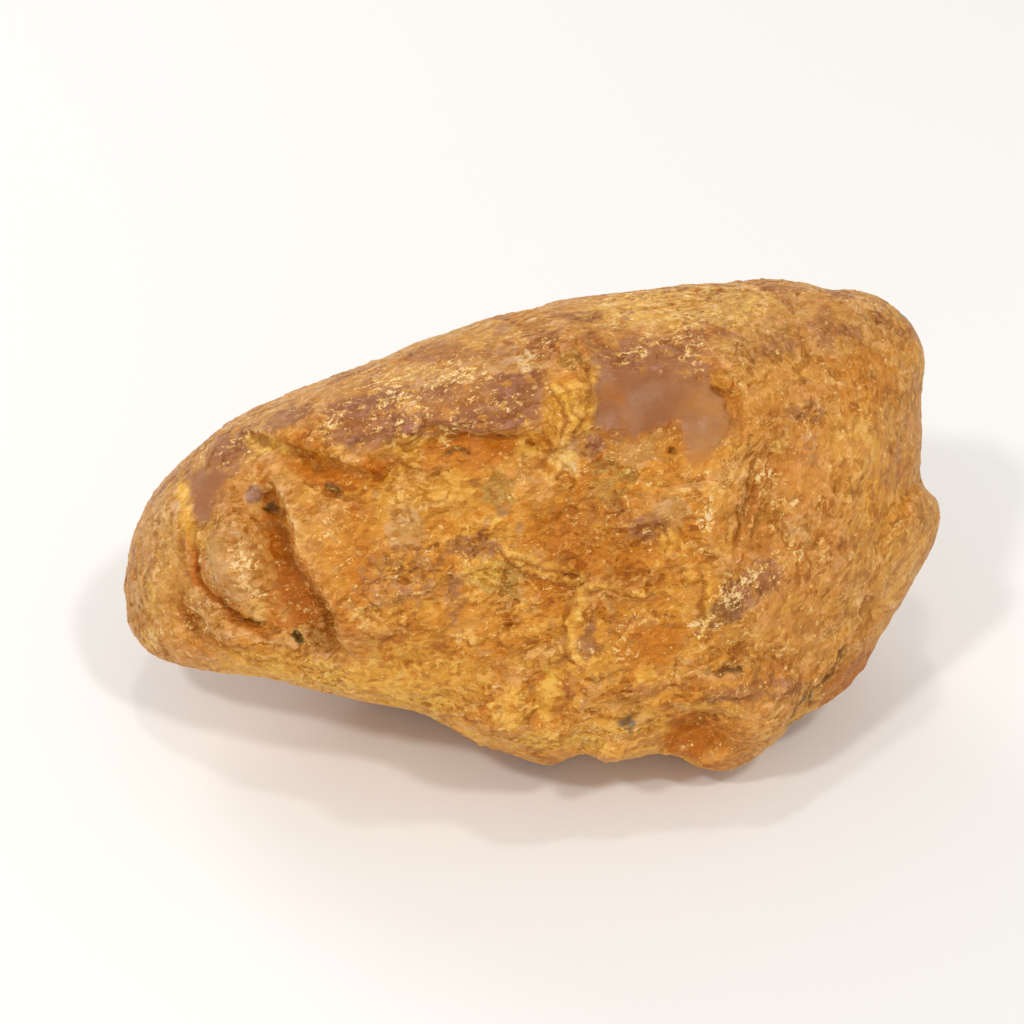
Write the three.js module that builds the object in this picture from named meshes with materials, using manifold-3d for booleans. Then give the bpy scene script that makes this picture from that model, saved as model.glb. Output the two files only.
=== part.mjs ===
// A nugget of kauri gum: one lump of fossil resin as it was dug, modelled as one closed solid.
// Millimetres, +Z up. The nugget rests on a small worn flat at Z = 0, with its nose to -X and its
// broad broken face leaning back towards +Y.
//
// The surface is a rounded body swept from a girth outline, with named forms laid on it: ridges,
// creases, steps, lumps and hollows. Forms are placed in face coordinates (u across, v up the face),
// and raise or lower the surface along w, the face's normal.
import * as THREE from "three";
import { ImprovedNoise } from "three/addons/math/ImprovedNoise.js";
import { mergeVertices } from "three/addons/utils/BufferGeometryUtils.js";
import Module from "manifold-3d";

// Driving dimensions.
const FACE_LEAN = 42; // degrees from the ground up to the broad face's normal
const REST_HEIGHT = 45.4; // of the face frame's origin above the ground
const FRONT_BULGE = 40; // from the girth plane to the front
const BACK_BULGE = 50; // from the girth plane to the back
const ROUNDNESS = 2.25; // exponent of the bulge: 2 is an ellipse, more is boxier
const NOSE_SET_BACK = 8; // how far the nose end turns away from the face
const NOSE_TURN_FROM = -25; // u where that turn starts
const HALF_LENGTH = 90; // from the face frame's origin to the nose

// Longest triangle edges: on the front, on the back, and beside a path.
const FRONT_EDGE = 5.7;
const BACK_EDGE = 7.6;
const EDGE_BESIDE = { step: 2.3, crease: 3.6, ridge: 5.5 };
const FINE_REACH = 3.5; // how far either side of a path the fine edges go
const SNAP = 1.2; // how close to a scarp's brow or foot a point is moved onto it
const OUTLINE_DEPTH = 0.45; // share of the way to the face at which the outline's notches are gone
const OUTLINE_BLUR = 18; // degrees over which they are evened out there

// The girth: the widest line round the nugget, seen square to the broad face. [u, v], anticlockwise
// from the nose.
const GIRTH = [
  [-90.5, -21], [-88, -27], [-82, -30.5], [-70, -33], [-55, -34], [-42, -37], [-32, -39.5],
  [-22, -42.5], [-13, -47], [-5, -50.5], [3, -53], [12, -49.5], [17, -52], [24, -51], [30, -50],
  [35, -53], [41, -54.5], [48, -52], [57, -43.5], [64, -40], [71, -34], [77, -25], [82, -16.5],
  [87, -7.5], [90, 0], [89.5, 5], [85, 9], [85.5, 14], [85, 27], [86, 38], [82, 45.5], [74, 51],
  [66, 51.5], [57, 53.5], [37, 52], [15, 50], [-3, 46.5], [-22, 40.5], [-38, 34.5], [-53, 29],
  [-68, 22], [-77, 15], [-85, 5.5], [-89.5, -4.5], [-91, -14],
];

// Broad flats that square the body off, each by its normal [u, v, w] and its distance out.
const FLATS = [
  { normal: [0.03, -0.12, 0.99], out: 36 },
  { normal: [0.06, 0.72, 0.69], out: 50 },
  { normal: [0.72, -0.28, 0.64], out: 66 },
  { normal: [-0.05, -0.74, 0.67], out: 51 },
  { normal: [0.1, 0.55, -0.83], out: 46 },
  { normal: [-0.25, -0.1, -0.96], out: 45 },
  { normal: [0.62, 0.1, -0.78], out: 60 },
  { normal: [0.04, -0.74, -0.67], out: 47.5 },
  { normal: [-0.6, -0.35, -0.72], out: 56 },
  { normal: [-0.5, 0.62, -0.6], out: 54 },
  { normal: [0.55, 0.72, -0.42], out: 64 },
  { normal: [0.55, -0.55, -0.63], out: 60 },
];
const FLAT_SHARPNESS = 16;
const FLATS_FROM = 0.4; // share of the way to the face or the back at which the flats are whole

// The forms are laid on in these lists. A ridge or a crease follows a path and fades with its width.
// A step raises the ground to the left of its path and drops it to the right: reach is how far each
// change carries, run is half the width of the scarp between them, and lean is how far the brow
// leans out over the foot. A lump is a low dome with two radii, turned by degrees, and a hollow
// where its height is negative.
const FRONT_FORMS = [
  // The skin's crest, from the nose to the right-hand shoulder.
  { kind: "ridge", width: 10, height: 4,
    path: [[-73, 6], [-63, 17], [-51, 22], [-38, 27], [-22, 30], [6, 32], [42, 35]] },
  // The two ledges of skin over the broken face, each with its undercut.
  { kind: "step", rise: 2.5, drop: 5, reach: [9, 6], run: 1.9, lean: 1.5,
    path: [[-67, 21], [-58, 19.5], [-50, 17.5], [-44, 14.5], [-36, 12], [-28, 12]] },
  { kind: "step", rise: 2, drop: 4, reach: [10, 7], run: 1.9, lean: 1,
    path: [[-37, 14], [-29, 18], [-18, 20.5], [-8, 20], [4, 18]] },
  // The cleft behind the nose: the broken plate stands over it on its right.
  { kind: "step", rise: 4.5, drop: 10, reach: [14, 8], run: 2.4, lean: 4,
    path: [[-54.5, 11], [-52.5, 5], [-50.5, -1], [-48, -7], [-43.5, -14], [-40.5, -21], [-40, -29]] },
  // The nose's folds.
  { kind: "crease", width: 3, depth: 5,
    path: [[-70.5, 3], [-70, -4], [-69.5, -11], [-65.5, -15.5], [-60.5, -19], [-54, -22]] },
  { kind: "crease", width: 3, depth: 4.5,
    path: [[-79, -14], [-74.5, -18], [-70.5, -22.5], [-66.5, -25.5], [-60, -29]] },
  // The trench of the right-hand side, and the cracks of the middle.
  { kind: "crease", width: 3, depth: 2.4, path: [[51, 18], [50, 10], [48, 1], [45, -8]] },
  { kind: "crease", width: 3.2, depth: 2.6, path: [[-9, -7], [0, -9], [7, -12], [14, -16], [25, -16]] },
  { kind: "crease", width: 3, depth: 2.4, path: [[22, -18], [34, -22], [48, -28], [60, -30]] },
  { kind: "crease", width: 3, depth: 2.4, path: [[-27, 3], [-20, 1], [-12, 5], [-3, 6]] },
  { kind: "ridge", width: 4, height: 3, path: [[15, -12], [10, -19], [8, -27], [12, -35]] },
  { kind: "ridge", width: 6, height: 2.5, path: [[44, 20], [37, 8], [34, -6], [38, -20]] },
  // The nose's lobes and hollows.
  { kind: "lump", at: [-66, -6], radii: [10, 16], turn: 20, height: 5 },
  { kind: "lump", at: [-83, -4], radii: [10, 17], turn: -8, height: 3 },
  { kind: "lump", at: [-66, -25], radii: [11, 6], turn: -25, height: 3.5 },
  { kind: "lump", at: [-74, -22], radii: [5, 4.5], turn: -20, height: -3.5 },
  { kind: "lump", at: [-71, 6], radii: [7, 9], turn: 25, height: -3 },
  // The broad plate, the shelf above it, and the raised patch of crust beside the smooth window.
  { kind: "lump", at: [-30, -8], radii: [26, 22], turn: -15, height: 4.5 },
  { kind: "lump", at: [-24, 27], radii: [24, 9], turn: 12, height: -2 },
  { kind: "lump", at: [8, 36], radii: [8, 11], turn: 10, height: 4 },
  { kind: "lump", at: [7, 21], radii: [6, 12], turn: 0, height: 3.5 },
  { kind: "lump", at: [30, 24], radii: [16, 12], turn: -15, height: -4.5 },
  { kind: "lump", at: [66, 8], radii: [20, 32], turn: 10, height: 4 },
  { kind: "lump", at: [2, -1], radii: [16, 8], turn: 0, height: -2.5 },
  { kind: "lump", at: [30, -8], radii: [12, 16], turn: 10, height: -2.5 },
  // The lumps, nubs and scoop along the lower edge.
  { kind: "lump", at: [-8, -41], radii: [13, 10], turn: -20, height: 4 },
  { kind: "lump", at: [3, -46], radii: [9, 8], turn: 0, height: 4 },
  { kind: "lump", at: [11, -47], radii: [4, 7], turn: 0, height: -4 },
  { kind: "lump", at: [18, -49], radii: [5, 5], turn: 0, height: 4 },
  { kind: "lump", at: [37, -47], radii: [9, 7], turn: 30, height: -6 },
  { kind: "lump", at: [51, -41], radii: [9, 12], turn: -30, height: 4 },
  { kind: "lump", at: [85, -1], radii: [10, 10], turn: 0, height: 4 },
];

// Forms of the back, in the same (u, v), raised away from the back.
const BACK_FORMS = [
  { kind: "ridge", width: 7, height: 5, path: [[-60, 14], [-30, -6], [4, -14], [18, 4], [30, 26]] },
  { kind: "ridge", width: 6, height: 4, path: [[20, 36], [26, 22], [44, 16], [64, 18]] },
  { kind: "ridge", width: 6, height: 3.5, path: [[4, -14], [22, -24], [44, -22]] },
  { kind: "crease", width: 3.6, depth: 5, path: [[-70, -4], [-58, -12], [-40, -14], [-26, -22]] },
  { kind: "crease", width: 3.4, depth: 4.5, path: [[60, -20], [50, -8], [54, 8]] },
  { kind: "crease", width: 3.6, depth: 4, path: [[-36, 28], [-22, 20], [-6, 22], [8, 18]] },
  { kind: "lump", at: [-20, 8], radii: [26, 18], turn: 15, height: -6 },
  { kind: "lump", at: [46, -6], radii: [24, 20], turn: -30, height: -6 },
  { kind: "lump", at: [14, 10], radii: [12, 14], turn: 30, height: -4 },
  { kind: "lump", at: [-64, 4], radii: [14, 12], turn: 0, height: 4 },
  { kind: "lump", at: [-44, 22], radii: [12, 8], turn: 30, height: 3.5 },
  { kind: "lump", at: [-42, -22], radii: [12, 7], turn: -15, height: -4 },
  { kind: "lump", at: [12, -34], radii: [16, 9], turn: 10, height: 4 },
  { kind: "lump", at: [68, 4], radii: [12, 18], turn: 0, height: 4 },
];
const SCARP_CLEARANCE = 0.15; // share of the way to the face below which no scarp is sharpened
const END_FADE = 0.12; // share of a path's length over which a step or a crease fades out

// Waviness of the whole surface: [wavelength, amplitude, how ridged from 0 to 1].
const WAVES = [
  [46, 3, 0.1],
  [21, 2.2, 0.4],
  [11, 0.9, 0.6],
];

const smooth = (from, to, x) => THREE.MathUtils.smoothstep(x, from, to);

// The girth as a radius for every direction round the face.
function girthRadius() {
  const points = GIRTH.map(([u, v]) => new THREE.Vector3(u, v, 0));
  const curve = new THREE.CatmullRomCurve3(points, true, "centripetal");
  const polar = curve.getPoints(1440).map((p) => [Math.atan2(p.y, p.x), Math.hypot(p.x, p.y)]);
  polar.sort((a, b) => a[0] - b[0]);
  return (direction) => {
    const angle = Math.atan2(Math.sin(direction), Math.cos(direction));
    let low = 0;
    let high = polar.length - 1;
    if (angle <= polar[low][0] || angle >= polar[high][0]) return (polar[low][1] + polar[high][1]) / 2;
    while (high - low > 1) {
      const middle = (low + high) >> 1;
      if (polar[middle][0] <= angle) low = middle;
      else high = middle;
    }
    const share = (angle - polar[low][0]) / (polar[high][0] - polar[low][0] || 1);
    return THREE.MathUtils.lerp(polar[low][1], polar[high][1], share);
  };
}

// The nearest place on a path: how far to its left the point lies (negative to its right), the
// path's left-hand normal there, and its share of the length.
function nearest(u, v, path) {
  let best = { distance: Infinity };
  let walked = 0;
  for (let i = 1; i < path.length; i++) {
    const [au, av] = path[i - 1];
    const [du, dv] = [path[i][0] - au, path[i][1] - av];
    const length = Math.hypot(du, dv);
    const t = THREE.MathUtils.clamp(((u - au) * du + (v - av) * dv) / length ** 2, 0, 1);
    const [ou, ov] = [u - au - t * du, v - av - t * dv];
    const distance = Math.hypot(ou, ov);
    if (distance < best.distance) {
      const across = (Math.sign(du * ov - dv * ou) || 1) * distance;
      best = { distance, across, left: [-dv / length, du / length], along: walked + t * length };
    }
    walked += length;
  }
  best.along /= walked;
  return best;
}

// What one form adds to the surface at (u, v).
function formHeight(form, u, v) {
  if (form.kind === "lump") {
    const turn = THREE.MathUtils.degToRad(form.turn);
    const [du, dv] = [u - form.at[0], v - form.at[1]];
    const a = (du * Math.cos(turn) + dv * Math.sin(turn)) / form.radii[0];
    const b = (dv * Math.cos(turn) - du * Math.sin(turn)) / form.radii[1];
    return form.height * Math.max(0, 1 - a * a - b * b) ** 1.5;
  }
  const near = nearest(u, v, form.path);
  const ends = smooth(0, END_FADE, near.along) * smooth(0, END_FADE, 1 - near.along);
  if (form.kind === "ridge") return form.height * Math.exp(-((near.distance / form.width) ** 2));
  if (form.kind === "crease") return -form.depth * ends * Math.exp(-((near.distance / form.width) ** 2));
  const lift = smooth(-form.run, form.run, near.across);
  const raised = form.rise * Math.exp(-near.distance / form.reach[0]);
  const dropped = -form.drop * Math.exp(-near.distance / form.reach[1]);
  return ends * THREE.MathUtils.lerp(dropped, raised, lift);
}

// Moves a point close to a step's brow or foot onto it, and leans the brow out over the foot, so
// that each scarp has clean edges.
function shapeScarps(p, forms) {
  for (const form of forms.filter((one) => one.kind === "step")) {
    const near = nearest(p.x, p.y, form.path);
    const edge = Math.sign(near.across) * form.run;
    const snapped = Math.abs(near.across - edge) < SNAP ? edge : near.across;
    const ends = smooth(0, END_FADE, near.along) * smooth(0, END_FADE, 1 - near.along);
    const brow = smooth(-form.run, form.run, snapped) * Math.exp(-Math.max(0, snapped) / form.reach[0]);
    const move = snapped - near.across - form.lean * ends * brow;
    p.x += move * near.left[0];
    p.y += move * near.left[1];
  }
}

// The rounded body, before any form: the point in direction d from the origin.
function bodyPoint(d, radiusAt) {
  const angle = Math.atan2(d.y, d.x);
  const evened = [-1, -0.5, 0, 0.5, 1].reduce(
    (sum, k) => sum + radiusAt(angle + THREE.MathUtils.degToRad(k * OUTLINE_BLUR)) / 5, 0);
  const radius = THREE.MathUtils.lerp(radiusAt(angle), evened, smooth(0, OUTLINE_DEPTH, Math.abs(d.z)));
  const across = Math.hypot(d.x, d.y) / radius;
  const deep = Math.abs(d.z) / (d.z > 0 ? FRONT_BULGE : BACK_BULGE);
  const round = (across ** ROUNDNESS + deep ** ROUNDNESS) ** (1 / ROUNDNESS);
  let gauge = round ** FLAT_SHARPNESS;
  for (const flat of FLATS) {
    const [a, b, c] = flat.normal;
    const offGirth = smooth(0, FLATS_FROM, Math.sign(c) * d.z); // the girth keeps its outline
    gauge += offGirth * (Math.max(0, a * d.x + b * d.y + c * d.z) / flat.out) ** FLAT_SHARPNESS;
  }
  return d.clone().divideScalar(gauge ** (1 / FLAT_SHARPNESS));
}

// Waviness at a point, in millimetres out along its direction.
function waviness(noise, p) {
  return WAVES.reduce((sum, [wavelength, amplitude, ridged], i) => {
    const n = noise.noise(p.x / wavelength + 7 * i, p.y / wavelength + 3, p.z / wavelength - 5 * i);
    return sum + amplitude * THREE.MathUtils.lerp(n, 0.5 - 2 * Math.abs(n), ridged);
  }, 0);
}

// The longest edge that is right at a point of the body.
function edgeAt(p) {
  const forms = p.z > 0 ? FRONT_FORMS : BACK_FORMS;
  const plain = THREE.MathUtils.lerp(BACK_EDGE, FRONT_EDGE, smooth(-20, 5, p.z));
  return forms.filter((form) => form.path).reduce((edge, form) => {
    const away = smooth(FINE_REACH, 2.5 * FINE_REACH, nearest(p.x, p.y, form.path).distance);
    return Math.min(edge, THREE.MathUtils.lerp(EDGE_BESIDE[form.kind], plain, away));
  }, plain);
}

// A sphere of directions, split until no edge of the body is longer than edgeAt says. The two
// triangles on an edge split together, so the mesh stays closed.
function bodyMesh(radiusAt) {
  const sphere = new THREE.IcosahedronGeometry(1, 4);
  sphere.deleteAttribute("normal");
  sphere.deleteAttribute("uv");
  const start = mergeVertices(sphere);
  const position = start.getAttribute("position");
  const directions = [];
  const points = [];
  const add = (d) => {
    directions.push(d);
    points.push(bodyPoint(d, radiusAt));
    return points.length - 1;
  };
  for (let i = 0; i < position.count; i++) {
    add(new THREE.Vector3().fromBufferAttribute(position, i).normalize());
  }
  let triangles = [];
  for (let i = 0; i < start.index.count; i += 3) triangles.push([...start.index.array.slice(i, i + 3)]);
  for (let before = 0; before < triangles.length; ) {
    before = triangles.length;
    const middles = new Map();
    const middle = (a, b) => {
      const key = Math.min(a, b) + "-" + Math.max(a, b);
      if (!middles.has(key)) {
        const between = points[a].clone().add(points[b]).multiplyScalar(0.5);
        const long = points[a].distanceTo(points[b]) > edgeAt(between);
        middles.set(key, long ? add(between.normalize()) : null);
      }
      return middles.get(key);
    };
    triangles = triangles.flatMap(([a, b, c]) =>
      splitTriangle([a, b, c], [middle(a, b), middle(b, c), middle(c, a)], points),
    );
  }
  return { directions, points, triangles };
}

// A triangle cut at those of its edges' middles that aren't null.
function splitTriangle(corners, middles, points) {
  const cuts = middles.filter((m) => m !== null).length;
  if (cuts === 0) return [corners];
  let [a, b, c] = corners;
  let [ab, bc, ca] = middles;
  const turn = () => ([a, b, c, ab, bc, ca] = [b, c, a, bc, ca, ab]);
  if (cuts === 3) return [[a, ab, ca], [ab, b, bc], [ca, bc, c], [ab, bc, ca]];
  if (cuts === 1) {
    while (ab === null) turn();
    return [[a, ab, c], [ab, b, c]];
  }
  while (ca !== null) turn();
  return points[a].distanceTo(points[bc]) < points[ab].distanceTo(points[c])
    ? [[ab, b, bc], [a, ab, bc], [a, bc, c]]
    : [[ab, b, bc], [a, ab, c], [ab, bc, c]];
}

// The nugget's skin in face coordinates, as a closed mesh.
function skin() {
  const { directions, points, triangles } = bodyMesh(girthRadius());
  const noise = new ImprovedNoise();
  const position = new THREE.BufferAttribute(new Float32Array(points.length * 3), 3);
  for (let i = 0; i < position.count; i++) {
    const d = directions[i];
    const p = points[i];
    const front = smooth(-0.1, 0.25, d.z);
    const back = smooth(-0.1, 0.3, -d.z);
    const raised = FRONT_FORMS.reduce((sum, form) => sum + formHeight(form, p.x, p.y), 0);
    const behind = BACK_FORMS.reduce((sum, form) => sum + formHeight(form, p.x, p.y), 0);
    const turned = Math.max(0, NOSE_TURN_FROM - p.x) / (HALF_LENGTH + NOSE_TURN_FROM);
    if (Math.abs(d.z) > SCARP_CLEARANCE) shapeScarps(p, d.z > 0 ? FRONT_FORMS : BACK_FORMS);
    p.addScaledVector(d, waviness(noise, p) * (0.35 + 0.65 * Math.abs(d.z)));
    p.z += front * raised - back * behind - NOSE_SET_BACK * turned ** 1.5;
    position.setXYZ(i, p.x, p.y, p.z);
  }
  return new THREE.BufferGeometry().setAttribute("position", position).setIndex(triangles.flat());
}

// A closed, merged geometry as a manifold solid, and back.
function toSolid(wasm, geometry) {
  const merged = mergeVertices(geometry, 1e-4);
  return new wasm.Manifold(
    new wasm.Mesh({
      numProp: 3,
      vertProperties: merged.getAttribute("position").array,
      triVerts: new Uint32Array(merged.index.array),
    }),
  );
}

function toGeometry(solid) {
  const mesh = solid.getMesh();
  return new THREE.BufferGeometry()
    .setAttribute("position", new THREE.BufferAttribute(mesh.vertProperties, 3))
    .setIndex(new THREE.BufferAttribute(mesh.triVerts, 1));
}

// Stands the skin on the ground, cuts it flat there, and centres it over the origin.
async function nugget() {
  const wasm = await Module();
  wasm.setup();
  const upright = skin()
    .rotateX(THREE.MathUtils.degToRad(90 - FACE_LEAN))
    .translate(0, 0, REST_HEIGHT);
  const ground = new THREE.BoxGeometry(400, 400, 100).translate(0, 0, -50);
  ground.deleteAttribute("normal");
  ground.deleteAttribute("uv");
  const cut = toSolid(wasm, upright).subtract(toSolid(wasm, ground));
  const geometry = toGeometry(cut);
  geometry.computeBoundingBox();
  const middle = geometry.boundingBox.getCenter(new THREE.Vector3());
  return geometry.translate(-middle.x, -middle.y, 0);
}

const gum = new THREE.MeshStandardMaterial({ color: 0xc28647, roughness: 0.5, metalness: 0 });
const body = new THREE.Mesh(await nugget(), gum);
body.name = "gum_nugget";
const part = new THREE.Group();
part.add(body);
export default part;
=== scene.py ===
# A nugget of kauri gum, dressed around its solid: the lump, its weathered crust and its windows of
# bare resin are one piece. Blender works in metres; the maker's tables below are in millimetres.
import math

import bpy
import numpy as np
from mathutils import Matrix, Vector, noise


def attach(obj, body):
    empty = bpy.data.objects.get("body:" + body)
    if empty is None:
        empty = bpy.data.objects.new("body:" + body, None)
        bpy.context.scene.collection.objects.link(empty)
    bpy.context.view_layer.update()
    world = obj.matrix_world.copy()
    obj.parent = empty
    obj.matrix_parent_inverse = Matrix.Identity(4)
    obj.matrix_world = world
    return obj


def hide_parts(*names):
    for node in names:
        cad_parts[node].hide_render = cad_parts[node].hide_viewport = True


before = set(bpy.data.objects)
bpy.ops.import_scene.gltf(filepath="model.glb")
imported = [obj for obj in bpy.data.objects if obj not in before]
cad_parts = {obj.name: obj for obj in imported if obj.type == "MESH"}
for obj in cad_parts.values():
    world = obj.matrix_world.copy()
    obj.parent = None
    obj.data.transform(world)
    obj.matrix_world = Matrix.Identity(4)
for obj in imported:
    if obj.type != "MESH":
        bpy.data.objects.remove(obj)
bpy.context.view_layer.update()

# ---- The table, the lights and the camera ------------------------------------------------------
# The nugget lies on a plain white table in a white room, with a lamp on either side in front, one
# above, a broad one behind and a weak one low in front. The camera looks square at the broad
# broken face, which leans back from the table.
MM = 0.001
FACE_LEAN = math.radians(42)
FACE_CENTRE = Vector((0.26, 0.34, 45.4)) * MM
ACROSS = Vector((1, 0, 0))
UP_FACE = Vector((0, math.sin(FACE_LEAN), math.cos(FACE_LEAN)))
OUT = Vector((0, -math.cos(FACE_LEAN), math.sin(FACE_LEAN)))
VIEW_DISTANCE = 600  # mm from the face's centre
VIEW_AIM = (-4.4, 2.4)  # mm across and up the face, at the middle of the view
LENS = 95.6

aim = FACE_CENTRE + (ACROSS * VIEW_AIM[0] + UP_FACE * VIEW_AIM[1]) * MM
bpy.ops.object.camera_add(location=aim + OUT * VIEW_DISTANCE * MM)
camera = bpy.context.object
camera.rotation_euler = (-OUT).to_track_quat("-Z", "Y").to_euler()
camera.data.lens = LENS
bpy.context.scene.camera = camera
bpy.context.scene.view_settings.view_transform = "Standard"

LAMP_COLOUR = (1.0, 0.98, 0.95)
LAMPS = [
    {"at": (-0.50, -0.60, 1.20), "towards": (0, 0, 0.04), "size": 0.13, "watts": 4.5},
    {"at": (0.45, -0.50, 1.20), "towards": (0, 0, 0.04), "size": 0.13, "watts": 3.8},
    {"at": (-0.05, 0.12, 1.35), "towards": (0, 0, 0.04), "size": 0.10, "watts": 1.8},
    {"at": (-0.80, 1.10, 0.80), "towards": (-0.15, 0.35, 0), "size": 0.7, "watts": 6},
    {"at": (-0.10, -0.90, 0.20), "towards": (0, 0, 0.02), "size": 0.5, "watts": 0.75},
]
for lamp in LAMPS:
    place = Vector(lamp["at"])
    bpy.ops.object.light_add(type="AREA", location=place)
    light = bpy.context.object
    light.rotation_euler = (Vector(lamp["towards"]) - place).to_track_quat("-Z", "Y").to_euler()
    light.data.shape = "DISK"
    light.data.size = lamp["size"]
    light.data.energy = lamp["watts"]
    light.data.color = LAMP_COLOUR

ROOM_COLOUR = (1.0, 0.985, 0.96, 1)
ROOM_STRENGTH = 0.55
room = bpy.data.worlds.new("white_room")
bpy.context.scene.world = room
room.use_nodes = True
room.node_tree.nodes["Background"].inputs["Color"].default_value = ROOM_COLOUR
room.node_tree.nodes["Background"].inputs["Strength"].default_value = ROOM_STRENGTH

TABLE_WIDTH = 6
TABLE_COLOUR = (0.9, 0.895, 0.885, 1)
TABLE_ROUGHNESS = 0.7
bpy.ops.mesh.primitive_plane_add(size=TABLE_WIDTH, location=(0, 0, 0))
table = bpy.context.object
table.name = "table_top"
table_paint = bpy.data.materials.new("table_paint")
table_paint.use_nodes = True
table_shader = table_paint.node_tree.nodes["Principled BSDF"]
table_shader.inputs["Base Color"].default_value = TABLE_COLOUR
table_shader.inputs["Roughness"].default_value = TABLE_ROUGHNESS
table.data.materials.append(table_paint)

# ---- The lump ------------------------------------------------------------------------------------
# Kauri gum is the hardened resin of the kauri tree, dug out of the ground as rounded, cracked lumps.
# This one is a single piece: a blunt nose with deep folds, a cleft, and a broad broken face under a
# band of old skin. The solid's own form is taken up, evened out and worked finer.
WELD = 0.01 * MM
VOXEL = 0.56 * MM
EVENING_FACTOR = 0.5
EVENING_PASSES = 8  # smoothing that takes the solid's facets away
MOST_TRIANGLES = 196000

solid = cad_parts["gum_nugget"]
nugget = bpy.data.objects.new("kauri_gum_nugget", solid.data.copy())
bpy.context.scene.collection.objects.link(nugget)
bpy.ops.object.select_all(action="DESELECT")
bpy.context.view_layer.objects.active = nugget
nugget.select_set(True)
nugget.data.materials.clear()
bpy.ops.object.mode_set(mode="EDIT")
bpy.ops.mesh.select_all(action="SELECT")
bpy.ops.mesh.remove_doubles(threshold=WELD)
bpy.ops.object.mode_set(mode="OBJECT")


def finish_with(kind, **settings):
    """Adds a modifier to the nugget and applies it."""
    modifier = nugget.modifiers.new(kind.lower(), kind)
    for name, value in settings.items():
        setattr(modifier, name, value)
    bpy.ops.object.modifier_apply(modifier=modifier.name)


finish_with("SUBSURF", levels=1, render_levels=1)
finish_with("REMESH", mode="VOXEL", voxel_size=VOXEL)
finish_with("SMOOTH", factor=EVENING_FACTOR, iterations=EVENING_PASSES)

# The front is what the camera sees: where it starts and is full, by how squarely a point faces the
# camera, and by its mm in front of the face's centre.
FRONT_FACING = (-0.12, 0.12)
FRONT_DEPTH = (-14, -4)


def ease(low, high, x):
    """0 at low, 1 at high, and a smooth rise between."""
    t = np.clip((x - low) / (high - low), 0, 1)
    return t * t * (3 - 2 * t)


def at_least(least, share):
    """A share from 0 to 1, squeezed into the range from least to 1."""
    return least + (1 - least) * share


class Surface:
    """The nugget's points in millimetres, with their places u across and v up the broad face, as
    seen square to it."""

    def __init__(self):
        self.read()

    def read(self):
        """Takes the points and normals from the mesh."""
        mesh = nugget.data
        self.points = np.empty(len(mesh.vertices) * 3)
        mesh.vertices.foreach_get("co", self.points)
        self.points = self.points.reshape(-1, 3) / MM
        self.normals = np.empty(len(mesh.vertices) * 3)
        mesh.vertex_normals.foreach_get("vector", self.normals)
        self.normals = self.normals.reshape(-1, 3)
        away = self.points - np.array(FACE_CENTRE) / MM
        self.depth = away @ np.array(OUT)
        nearer = VIEW_DISTANCE / (VIEW_DISTANCE - self.depth)
        self.u = VIEW_AIM[0] + (away @ np.array(ACROSS) - VIEW_AIM[0]) * nearer
        self.v = VIEW_AIM[1] + (away @ np.array(UP_FACE) - VIEW_AIM[1]) * nearer
        sight = np.array(aim + OUT * VIEW_DISTANCE * MM) / MM - self.points
        sight /= np.linalg.norm(sight, axis=1)[:, None]
        self.facing = np.einsum("ij,ij->i", sight, self.normals)
        self.front = ease(*FRONT_FACING, self.facing) * ease(*FRONT_DEPTH, self.depth)

    def write(self):
        """Gives the points back to the mesh, with none under the table's top."""
        self.points[:, 2] = np.maximum(self.points[:, 2], 0)
        nugget.data.vertices.foreach_set("co", (self.points * MM).ravel())
        nugget.data.update()
        self.read()

    def raise_by(self, height):
        """Moves every point out along its normal."""
        self.points += self.normals * height[:, None]
        self.write()


# Each seed takes its noise from another place, so many steps away.
RIPPLE_STEP = np.array([17.3, 5.1, -9.7])
CREASE_STEP = np.array([3.7, -11.9, 7.3])
CHIP_STEP = np.array([13.1, 7.9, 3.3])
ROUGHENING = 2.1  # each octave is so many times finer than the last
CREASE_LEVEL = 0.6  # brings the middle of the creases to about 0


def ripples(points, size, octaves=3, seed=0):
    """Soft noise from about -1 to 1, with lumps of the given size."""
    places = points / size + RIPPLE_STEP * seed
    return np.array([noise.fractal(p, 1.0, ROUGHENING, octaves) for p in places.tolist()])


def layered(points, layers):
    """Soft noises added up. Each layer has a height, a size, its octaves and its seed."""
    return sum(height * ripples(points, *kind) for height, *kind in layers)


def creases(points, size, octaves=3, seed=0):
    """Ridged noise from about -1 to 1, with sharp crests."""
    places = points / size + CREASE_STEP * seed
    return CREASE_LEVEL - np.array([noise.turbulence(p, octaves, True) for p in places.tolist()])


# A chip's height and the tilt of its plane. The large odd numbers turn the middle of a cell into
# four lots that look random.
CHIP_HEIGHT = 0.6
CHIP_TILT = 1.2
LOT_SPREAD = np.array([[12.99, 78.23, 37.72, 9.15], [39.35, 11.13, 83.16, 52.24],
                       [73.16, 52.23, 9.15, 27.17]])
LOT_GAIN = 43758.5453


def chips(points, size, seed=0):
    """Broken chips: each cell is a small plane with its own height and tilt. Returns the height,
    from about -1 to 1, and how far each point is from its cell's border."""
    places = points / size + CHIP_STEP * seed
    cells = [noise.voronoi(p) for p in places.tolist()]
    middle = np.array([tuple(nearest[0]) for _, nearest in cells])
    border = np.array([distances[1] - distances[0] for distances, _ in cells]) * size
    lots = np.sin(middle @ LOT_SPREAD) * LOT_GAIN
    lots = 2 * (lots - np.floor(lots)) - 1
    tilted = np.einsum("ij,ij->i", places - middle, lots[:, 1:])
    return CHIP_HEIGHT * lots[:, 0] + CHIP_TILT * tilted, border


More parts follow.
